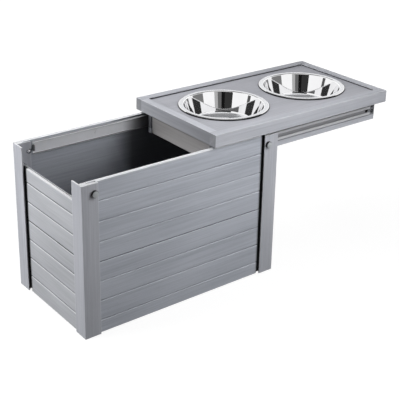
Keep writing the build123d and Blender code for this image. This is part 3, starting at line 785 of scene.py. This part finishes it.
def steel(name, colour, rough, grain=None, scratch=0.15, depth=0.02 * MM, metallic=1.0, channel=None,
          top_face_shade=0.0, covered=None):
    """Metal with fine lines along axis grain, or with faint all-round scratches. Where a piece has
    the attribute satin, the metal is duller there, and where it has shade, it has painted shade. A
    channel gives the distances from the middle plane, y = 0, between which the painted shade in the
    channel fades out. Painted shade also darkens what faces up, and between the two places of
    covered the tray's painted shade grows."""
    material, tree, surface = new_material(name)
    place = object_place(tree)
    scale = [scratches_across] * 3
    if grain is not None:
        scale[grain] = scratches_along
    spot = add_node(tree, "ShaderNodeMapping", {"Vector": place, "Scale": scale}).outputs[0]
    lines = noise(tree, spot, 1.0, 2.0)
    satin, painted_shade = attribute(tree, "satin"), attribute(tree, "shade")
    plain = linear(*colour)
    tinted = blend(tree, noise(tree, place, tint_waves, 3.0), darkened(plain, tint_depth), plain)
    # painted shade in the channel's web
    if channel:
        from_middle = maths(tree, "ABSOLUTE", along_axis(tree, place, 1))
        painted_shade = ramp(tree, from_middle, *channel, channel_shade_share, 0.0)
    # painted shade on faces that look up
    if top_face_shade:
        up = along_axis(tree, facing(tree), 2)
        painted_shade = maths(tree, "MAXIMUM", painted_shade, ramp(tree, up, *lying, 0.0, top_face_shade))
    # painted shade of the tray over one end
    if covered:
        under = ramp(tree, along_axis(tree, place, 0), *covered, 0.0, -deepest_inside)
        painted_shade = maths(tree, "MAXIMUM", painted_shade, under)
    polish = maths(tree, "MULTIPLY_ADD", satin, satin_roughness, rough)
    fill(tree, surface, {
        "Base Color": blend(tree, painted_shade, blend(tree, satin, tinted, satin_grey), deep_shade),
        "Metallic": metallic,
        "Roughness": maths(tree, "MULTIPLY_ADD", lines, scratch, polish),
        "Normal": embossed(tree, lines, line_strength, depth),
    })
    return material


channel_lip, channel_web = [abs(corner.y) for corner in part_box("slide_moving_front")]
# along x, where the tray's painted shade on the wall members starts and where it is deepest
wall_members_covered = (20 * MM, 85 * MM)
slide_steel = steel("slide_steel", (228, 229, 233), 0.5, grain=0, metallic=0.15, top_face_shade=0.7,
                    covered=wall_members_covered)
# the same plating as slide_steel, darker as painted shade under the tray
tray_slide_steel_in_painted_shade = steel("tray_slide_steel_in_painted_shade", (192, 193, 197), 0.5, grain=0, metallic=0.15,
                         channel=(channel_web, channel_lip))
cage_steel = steel("cage_steel", (170, 172, 174), 0.35, grain=0)
bowl_steel = steel("bowl_steel", (252, 252, 253), 0.02, scratch=0.03, depth=0.005 * MM)
nut_steel = steel("nut_steel", (220, 220, 222), 0.12)
print("metals", [m.name for m in bpy.data.materials if m.name.endswith("steel")])

# %% Plastic materials
plastic_grain, plastic_mottle, plastic_tint_depth, plastic_rough = 1800.0, 90.0, 0.85, 0.2
plastic_strength, plastic_depth = 0.3, 0.05 * MM


def plastic(name, colour, rough):
    """Moulded plastic, or paint on a screw: even colour with a fine grain and slight mottling."""
    material, tree, surface = new_material(name)
    place = object_place(tree)
    grain = noise(tree, place, plastic_grain, 2.0)
    plain = linear(*colour)
    mottle = noise(tree, place, plastic_mottle, 3.0)
    fill(tree, surface, {
        "Base Color": blend(tree, mottle, darkened(plain, plastic_tint_depth), plain),
        "Roughness": maths(tree, "MULTIPLY_ADD", grain, plastic_rough, rough),
        "Normal": embossed(tree, grain, plastic_strength, plastic_depth),
    })
    return material


bolt_black = plastic("bolt_black", (24, 24, 25), 0.4)
screw_black = plastic("screw_black", (9, 9, 10), 0.85)
cap_grey = plastic("cap_grey", (176, 180, 183), 0.35)
bumper_grey = plastic("bumper_grey", (112, 113, 115), 0.6)
print("plastics and paint ready")

# %% Slides keep their measured meshes
for node, material in (
    ("slide_fixed_front", slide_steel), ("slide_fixed_back", slide_steel),
    ("slide_moving_front", tray_slide_steel_in_painted_shade), ("slide_moving_back", tray_slide_steel_in_painted_shade),
    ("ball_cage_front", cage_steel), ("ball_cage_back", cage_steel),
    ("slide_bumpers", bumper_grey),
):
    nodes[node].data.materials.clear()
    nodes[node].data.materials.append(material)
print("slides dressed")

# %% [markdown]
# ## Round pieces
# Bolts, caps, nuts, screws, balls and bowls are outlines turned about an axis. A Screw modifier
# could turn them, but many turned shapes fit in one mesh when numpy works them out. The grid's
# second parameter is the angle: a point at radius r and height h goes to r cos a, r sin a, h.


# %% Turn an outline about an axis
def turned(profile, centre, axis, around=48, closed=False):
    """Vertices and faces of profile (n, 2), given as (radius, height along axis)."""
    axis = Vector(axis).normalized()
    side = axis.orthogonal().normalized()
    third = axis.cross(side)
    angle = np.linspace(0, 2 * np.pi, around, endpoint=False)
    r, h = np.asarray(profile, float).T
    round_part = np.cos(angle)[:, None] * np.array(side) + np.sin(angle)[:, None] * np.array(third)
    points = r[None, :, None] * round_part[:, None] + h[None, :, None] * np.array(axis)
    points = points + np.array(centre)
    index = np.arange(around * len(r)).reshape(around, len(r))
    nxt = np.roll(index, -1, 0)
    if closed:
        index, nxt = np.c_[index, index[:, :1]], np.c_[nxt, nxt[:, :1]]
    quads = np.stack([index[:, :-1], nxt[:, :-1], nxt[:, 1:], index[:, 1:]], -1)
    return points.reshape(-1, 3), quads.reshape(-1, 4)


def turned_piece(name, parts, material, body, replaced=(), sharp=35):
    """One mesh from several turned shapes, each a pair of points and faces."""
    places, faces, first = [], [], 0
    for points, quads in parts:
        places.append(points)
        faces += (quads + first).tolist()
        first += len(points)
    mesh = bpy.data.meshes.new(name)
    mesh.from_pydata(np.concatenate(places).tolist(), [], faces)
    return finished(name, mesh, material, body, replaced, sharp)


print("a turned disc has", len(turned([(0, 0), (1, 0)], (0, 0, 0), (0, 0, 1))[1]), "faces")

# %% [markdown]
# ## Bolts, nuts, balls and screws
# A black bolt with a grey cap goes through each post near its top, with a domed nut inside at the
# left and a flat one at the right. Balls run in the slides, and small screws hold the slides'
# members. The measured model has only steps and bevels on the bolts and nuts, and leaves the screws
# out, so each of these gets an outline of its own, which is drawn in millimetres.

# %% Bolts and caps at the posts
head_radius, head_height = 9.0, 6.4
head_outline = [
    (0, -14.0), (3.0, -14.0), (3.0, 0), (8.2, 0), (8.8, 0.25), (head_radius, 0.9), (head_radius, 5.6),
    (8.8, 6.2), (8.3, head_height), (0, head_height),
]
swell = np.linspace(0, 1, 9)
cap_dome = np.stack([8.1 - 6.9 * swell, 0.9 + 1.5 * np.sin(swell * np.pi / 2)], 1)
cap_outline = [(0, 0.0), (8.2, 0.0), (8.2, 0.7), *cap_dome, (0.9, 2.15), (0, 2.0)]
bolt_low, bolt_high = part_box("corner_bolts")
bolt_reach = (bolt_high.x - bolt_low.x) / 2 - head_radius * MM
bolt_height = (bolt_low.z + bolt_high.z) / 2
heads, caps = [], []
for side_y in (-1, 1):
    for side_x in (-1, 1):
        flange = np.array([side_x * bolt_reach, side_y * cabinet_half.y, bolt_height])
        out = np.array([0, side_y, 0])
        heads.append(turned(np.array(head_outline) * MM, flange, out))
        caps.append(turned(np.array(cap_outline) * MM, flange + out * head_height * MM, out))
turned_piece("bolts", heads, bolt_black, "cabinet", ["corner_bolts"])
turned_piece("caps_of_bolts", caps, cap_grey, "cabinet", ["bolt_caps"], sharp=60)

# %% Nuts inside the posts, domed at the left and flat at the right
nut_side = [(6.5, 0.2), (6.5, 1.2), (6.3, 1.4)]
dome_radius, dome_foot, dome_rise = 4.6, 2.2, 3.4
crown = np.linspace(0, np.pi / 2, 10)
dome = np.stack([dome_radius * np.cos(crown), dome_foot + dome_rise * np.sin(crown)], 1)
dome_outline = [(0, 0.4), (3.0, 0.4), (3.0, 0), (6.4, 0), *nut_side, (dome_radius, 1.4), *dome]
flat_outline = [(3.05, 0), (6.3, 0), *nut_side, (3.05, 1.4)]
dome_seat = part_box("dome_nuts")[1].y
flat_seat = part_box("flat_nuts")[1].y
domes, flats = [], []
for side_y in (-1, 1):
    into = (0, -side_y, 0)
    domes.append(turned(np.array(dome_outline) * MM, (-bolt_reach, side_y * dome_seat, bolt_height), into))
    flats.append(turned(np.array(flat_outline) * MM, (bolt_reach, side_y * flat_seat, bolt_height), into,
                        closed=True))
turned_piece("nuts_domed", domes, nut_steel, "cabinet", ["dome_nuts"])
turned_piece("nuts_flat", flats, nut_steel, "cabinet", ["flat_nuts"])

# %% Balls of the slides
ball_radius, ball_inset, balls_in_a_row = 2.0 * MM, 1.73 * MM, 5
polar = np.linspace(0, np.pi, 13)
ball_outline = ball_radius * np.stack([np.sin(polar), -np.cos(polar)], 1)
for name, body in (("front", "cage_front"), ("back", "cage_back")):
    low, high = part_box(f"slide_balls_{name}")
    spots = [
        (x, (low.y + high.y) / 2, z)
        for x in np.linspace(low.x + ball_inset, high.x - ball_inset, balls_in_a_row)
        for z in (low.z + ball_inset, high.z - ball_inset)
    ]
    balls = [turned(ball_outline, spot, (0, 0, 1), around=20) for spot in spots]
    turned_piece(f"balls_{name}", balls, nut_steel, body, [f"slide_balls_{name}"])

# %% Screws of the slides and the apron
pan = [(0, 0), (3.4, 0), (3.5, 0.3), (3.2, 1.1), (2.4, 1.55), (1.2, 1.6), (1.1, 0.9), (0, 0.8)]
countersunk = [(0, -2.0), (2.0, -2.0), (3.9, -0.1), (3.9, 0.05), (1.3, 0.1), (1.1, -0.8), (0, -0.9)]
pan_small, pan_large, countersunk_large = 1.0, 1.7, 1.4
fixed_web, moving_web = 1.2 * MM, 9.2 * MM
fixed_places, moving_places = (188 * MM, 500 * MM), (14 * MM, 519 * MM)
apron_inset, apron_heights = 6 * MM, (381 * MM, 398 * MM)
fixed_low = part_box("slide_fixed_front")[0]
moving_low, moving_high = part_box("slide_moving_front")
slide_height = (moving_low.z + moving_high.z) / 2
slide_face = cabinet_half.y - wall_inner
apron_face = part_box("apron_back")[1].y
apron_ends = [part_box(f"apron_{end}")[0].x + apron_inset for end in ("left", "right")]


def screws(outline, size, places, out):
    """Screw heads of one outline and size at several places, all looking out the same way."""
    return [turned(np.array(outline) * size * MM, place, out, around=24) for place in places]


fixed_screws, moving_screws, apron_screws = [], [], []
for side_y in (-1, 1):
    inward, outward = (0, -side_y, 0), (0, side_y, 0)
    places = [(fixed_low.x + x, side_y * (slide_face - fixed_web), slide_height) for x in fixed_places]
    fixed_screws += screws(pan, pan_small, places, inward)
    places = [(moving_low.x + x, side_y * (slide_face - moving_web), slide_height) for x in moving_places]
    moving_screws += screws(pan, pan_large, places, outward)
    places = [(x, side_y * apron_face, z) for x in apron_ends for z in apron_heights]
    apron_screws += screws(countersunk, countersunk_large, places, outward)
turned_piece("screws_of_wall_members", fixed_screws, slide_steel, "cabinet")
turned_piece("screws_of_tray_members", moving_screws, screw_black, "tray")
turned_piece("screws_of_apron", apron_screws, screw_black, "tray")

# %% [markdown]
# ## Bowls
# A feeding bowl is spun from one thin disc: a flat floor, a round corner, a wall that leans out, a
# flat rim and a rolled edge. Its middle line is drawn once and rounded, half the sheet's thickness
# is laid on each side of it, and the closed strip is turned about the axis. The floor and the flat
# of the rim are satin, and the underside of the rolled edge has painted shade.

# %% Bowl profile
sheet = 0.9 * MM
rim_low, rim_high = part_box("bowl_left")
bowl_depth = rim_high.z - rim_low.z - sheet / 2
mouth_radius, foot_radius = 110 * MM, 91 * MM
rim_flat, roll_start, roll_end = rim_radius - 3.2 * MM, -1.7 * MM, -3.8 * MM
middle_line = [
    (0, -bowl_depth), (foot_radius, -bowl_depth), (mouth_radius, -sheet / 2), (rim_flat, -sheet / 2),
    (rim_radius - sheet / 2, roll_start), (rim_radius - sheet / 2, roll_end),
]
bend_radii = np.array([0, 12, 3.0, 1.2, 0.8, 0]) * MM
line = rounded(middle_line, bend_radii, steps=18, closed=False)[0]
chord = np.gradient(line, axis=0)
across = np.stack([-chord[:, 1], chord[:, 0]], 1) / np.linalg.norm(chord, axis=1)[:, None]
across[0] = (0, 1)
upper, under = line + across * sheet / 2, line - across * sheet / 2
bowl_outline = np.concatenate([upper, under[::-1]])
print("bowl profile of", len(bowl_outline), "points,", round(bowl_depth / MM, 1), "mm deep")

# %% Bowls
floor_radius, satin_margin = 92 * MM, 3 * MM
lip_width, lip_below = 1 * MM, -1.1 * MM
for name in ("left", "right"):
    low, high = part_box(f"bowl_{name}")
    centre = ((low.x + high.x) / 2, (low.y + high.y) / 2, high.z)
    shell = turned(bowl_outline, centre, (0, 0, 1), around=160)
    bowl = turned_piece(f"feeding_bowl_{name}", [shell], bowl_steel, f"bowl_{name}", [f"bowl_{name}"]).data
    spots = np.empty(len(bowl.vertices) * 3)
    bowl.vertices.foreach_get("co", spots)
    spots = spots.reshape(-1, 3) - np.array(centre)
    radius = np.hypot(spots[:, 0], spots[:, 1])
    on_rim = (radius > mouth_radius + MM) & (radius < rim_radius - satin_margin)
    satin = on_rim | (radius < floor_radius)
    keep_numbers(bowl, "satin", satin.astype(float))
    # the underside of the rolled edge gets painted shade
    lip = (radius > rim_radius - lip_width) & (spots[:, 2] < lip_below)
    keep_numbers(bowl, "shade", lip.astype(float))

# %% [markdown]
# ## Stage, light and camera
# A product shot on white: a pale floor that runs out of sight under an even white surround. What
# the camera and the polished metal see of both is plain white, while the light that they throw on
# the object is kept low, so that the lamps can model its faces. Near the object the floor is partly
# real, and shows its shadow. Further off it turns into plain white.


# %% Floor
def seen_directly(tree):
    """1 where the camera, a mirror or glass looks straight at a surface, and 0 for other light."""
    path = add_node(tree, "ShaderNodeLightPath")
    seen = maths(tree, "MAXIMUM", path.outputs["Is Camera Ray"], path.outputs["Is Glossy Ray"])
    return maths(tree, "MAXIMUM", seen, path.outputs["Is Transmission Ray"])


def shown_as(tree, share, plain, shown, output):
    """Sends the output a mix of two shaders, with this share of the second."""
    mix = add_node(tree, "ShaderNodeMixShader", {0: share, 1: plain.outputs[0], 2: shown.outputs[0]})
    fill(tree, tree.nodes[output], {"Surface": mix.outputs[0]})


near_share, near_reach, far_reach = 0.8, 0.7, 1.8
floor_white, floor_rough, floor_specular = 1.1, 0.9, 0.1
floor_lit, floor_seen = (0.15, 0.15, 0.15, 1), (0.95, 0.95, 0.95, 1)
white = (1, 1, 1, 1)
floor_material, tree, surface = new_material("studio_floor")
seen = seen_directly(tree)
fill(tree, surface, {"Base Color": blend(tree, seen, floor_lit, floor_seen), "Roughness": floor_rough,
                     "Specular IOR Level": floor_specular})
away = add_node(tree, "ShaderNodeVectorMath", {0: object_place(tree)}, operation="LENGTH").outputs["Value"]
share = maths(tree, "MULTIPLY", seen, ramp(tree, away, near_reach, far_reach, near_share, 1.0))
glow = add_node(tree, "ShaderNodeEmission", {"Color": white, "Strength": floor_white})
shown_as(tree, share, surface, glow, "Material Output")
floor_mesh = bpy.data.meshes.new("studio_floor")
reach = 30.0
floor_mesh.from_pydata([(-reach, -reach, 0), (reach, -reach, 0), (reach, reach, 0), (-reach, reach, 0)], [],
                       [(0, 1, 2, 3)])
floor_mesh.materials.append(floor_material)
studio_floor = in_scene("studio_floor", floor_mesh)
studio_floor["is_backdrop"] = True
print("floor", 2 * reach, "m wide")

# %% Surround
surround_light = 0.06
world = bpy.data.worlds.new("surround")
bpy.context.scene.world = world
world.use_nodes = True
tree = world.node_tree
light = tree.nodes["Background"]
fill(tree, light, {"Color": white, "Strength": surround_light})
shown = add_node(tree, "ShaderNodeBackground", {"Color": white, "Strength": 1.0})
shown_as(tree, seen_directly(tree), light, shown, "World Output")
print("surround ready")

# %% [markdown]
# ## Flags for the bowls
# A polished bowl shows whatever stands round it, and under an even white surround it would look
# like plaster. So a studio puts flags there: grey and black cards that only the metal sees. Planes
# set up by hand would do, but here each card is a patch of a large sphere round the bowls, so that
# its edges run straight across the metal. Numpy lays a grid of azimuth (clockwise from the back) and
# elevation, and a point is the centre plus the reach times (sin a cos e, cos a cos e, sin e).

# %% Flags
# azimuth from and to, elevation from and to, in degrees, and how bright the card is
flags = [
    (-170, -114, 20, 37, 0.035), (-168, -158, 0, 20, 0.45), (-158, -147, 0, 20, 0.14),
    (-147, -137, 0, 20, 0.008), (-137, -114, 0, 20, 0.035), (-67, -57, 0, 12, 0.10),
    (118, 156, 0, 20, 0.20), (-15, 142, 38, 62, 0.13), (-112, -60, 48, 62, 0.05),
    (-180, 180, 62, 90, 0.33),
]
flag_reach, flag_centre = 7.0, np.array([tray_middle, 0, rim_high.z])
places, faces, tones = [], [], []
for west, east, lower, upper, tone in flags:
    a, e = np.meshgrid(np.radians(np.linspace(west, east, 25)), np.radians(np.linspace(lower, upper, 7)))
    patch = np.stack([np.sin(a) * np.cos(e), np.cos(a) * np.cos(e), np.sin(e)], -1)
    index = np.arange(a.size).reshape(a.shape) + len(places) * a.size
    quads = np.stack([index[:-1, :-1], index[:-1, 1:], index[1:, 1:], index[1:, :-1]], -1)
    faces += quads.reshape(-1, 4).tolist()
    places.append((flag_centre + flag_reach * patch).reshape(-1, 3))
    tones += [tone] * a.size
flag_mesh = bpy.data.meshes.new("studio_flags")
flag_mesh.from_pydata(np.concatenate(places).tolist(), [], faces)
keep_numbers(flag_mesh, "tone", tones)
flag_material, tree, surface = new_material("studio_flags")
card = add_node(tree, "ShaderNodeEmission", {"Color": white, "Strength": attribute(tree, "tone")})
fill(tree, tree.nodes["Material Output"], {"Surface": card.outputs[0]})
flag_mesh.materials.append(flag_material)
studio_flags = in_scene("studio_flags", flag_mesh)
studio_flags.visible_camera = studio_flags.visible_diffuse = False
studio_flags.visible_shadow = studio_flags.visible_transmission = False
studio_flags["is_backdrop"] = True
print("flags", len(flags))

# %% [markdown]
# ## Lamps and camera
# Large soft lamps give each side of the object its own even tone: the key lights the left end, the
# one overhead the tray and the inside, two in front the long wall, and two far ones fill the rest.
# The camera looks from the front left and a little down, through a long lens.

# %% Lamps
lamp_target = Vector((0.1, 0, 0.25))
# place and side in metres, power in watts
lamps = {
    "key": ((-1.57, 0.37, 0.71), 0.6, 17.0),
    "overhead": ((-0.45, 0.6, 1.6), 0.8, 15.6),
    "front_low": ((0.45, -1.3, 0.42), 0.6, 3.0),
    "front": ((0.42, -0.85, 1.0), 0.6, 8.0),
    "back_fill": ((1.3, 2.4, 0.45), 1.3, 12.0),
    "right_fill": ((2.6, 0.2, 0.5), 0.9, 6.0),
}
for name, (place, size, power) in lamps.items():
    lamp = bpy.data.lights.new(name, "AREA")
    lamp.shape, lamp.size, lamp.energy = "SQUARE", size, power
    holder = in_scene(name, lamp)
    holder.location = place
    holder.rotation_mode = "QUATERNION"
    holder.rotation_quaternion = (lamp_target - Vector(place)).to_track_quat("-Z", "Y")
    holder.visible_camera = holder.visible_glossy = False
print("lamps", list(lamps))

# %% Camera
azimuth, elevation, roll = map(math.radians, (-38.03, 21.45, 1.15))
focal_pixels, image_side = 950.0, 400
principal = (200.8, 138.1)
distance, slide_right, slide_up = 2.512, 0.1291, 0.1911
pivot = Vector((0.0, -0.017, 0.205))
back = Vector((math.sin(azimuth) * math.cos(elevation), -math.cos(azimuth) * math.cos(elevation),
               math.sin(elevation)))
level = Vector((math.cos(azimuth), math.sin(azimuth), 0))
upward = back.cross(level)
right = level * math.cos(roll) + upward * math.sin(roll)
up = upward * math.cos(roll) - level * math.sin(roll)
lens = bpy.data.cameras.new("camera")
lens.sensor_width = 36
lens.lens = focal_pixels / image_side * lens.sensor_width
lens.shift_x = (image_side / 2 - principal[0]) / image_side
lens.shift_y = (principal[1] - image_side / 2) / image_side
lens.clip_start, lens.clip_end = 0.05, 100
camera = in_scene("camera", lens)
camera.rotation_mode = "QUATERNION"
camera.location = pivot + back * distance + right * slide_right + up * slide_up
turn = np.array([right, up, back]).T
camera.rotation_quaternion = Matrix(turn.tolist()).to_quaternion()
bpy.context.scene.camera = camera
bpy.context.scene.view_settings.view_transform = "Standard"
print("camera at", tuple(round(v, 3) for v in camera.location))

# %% Sizes of the object
low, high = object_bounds()
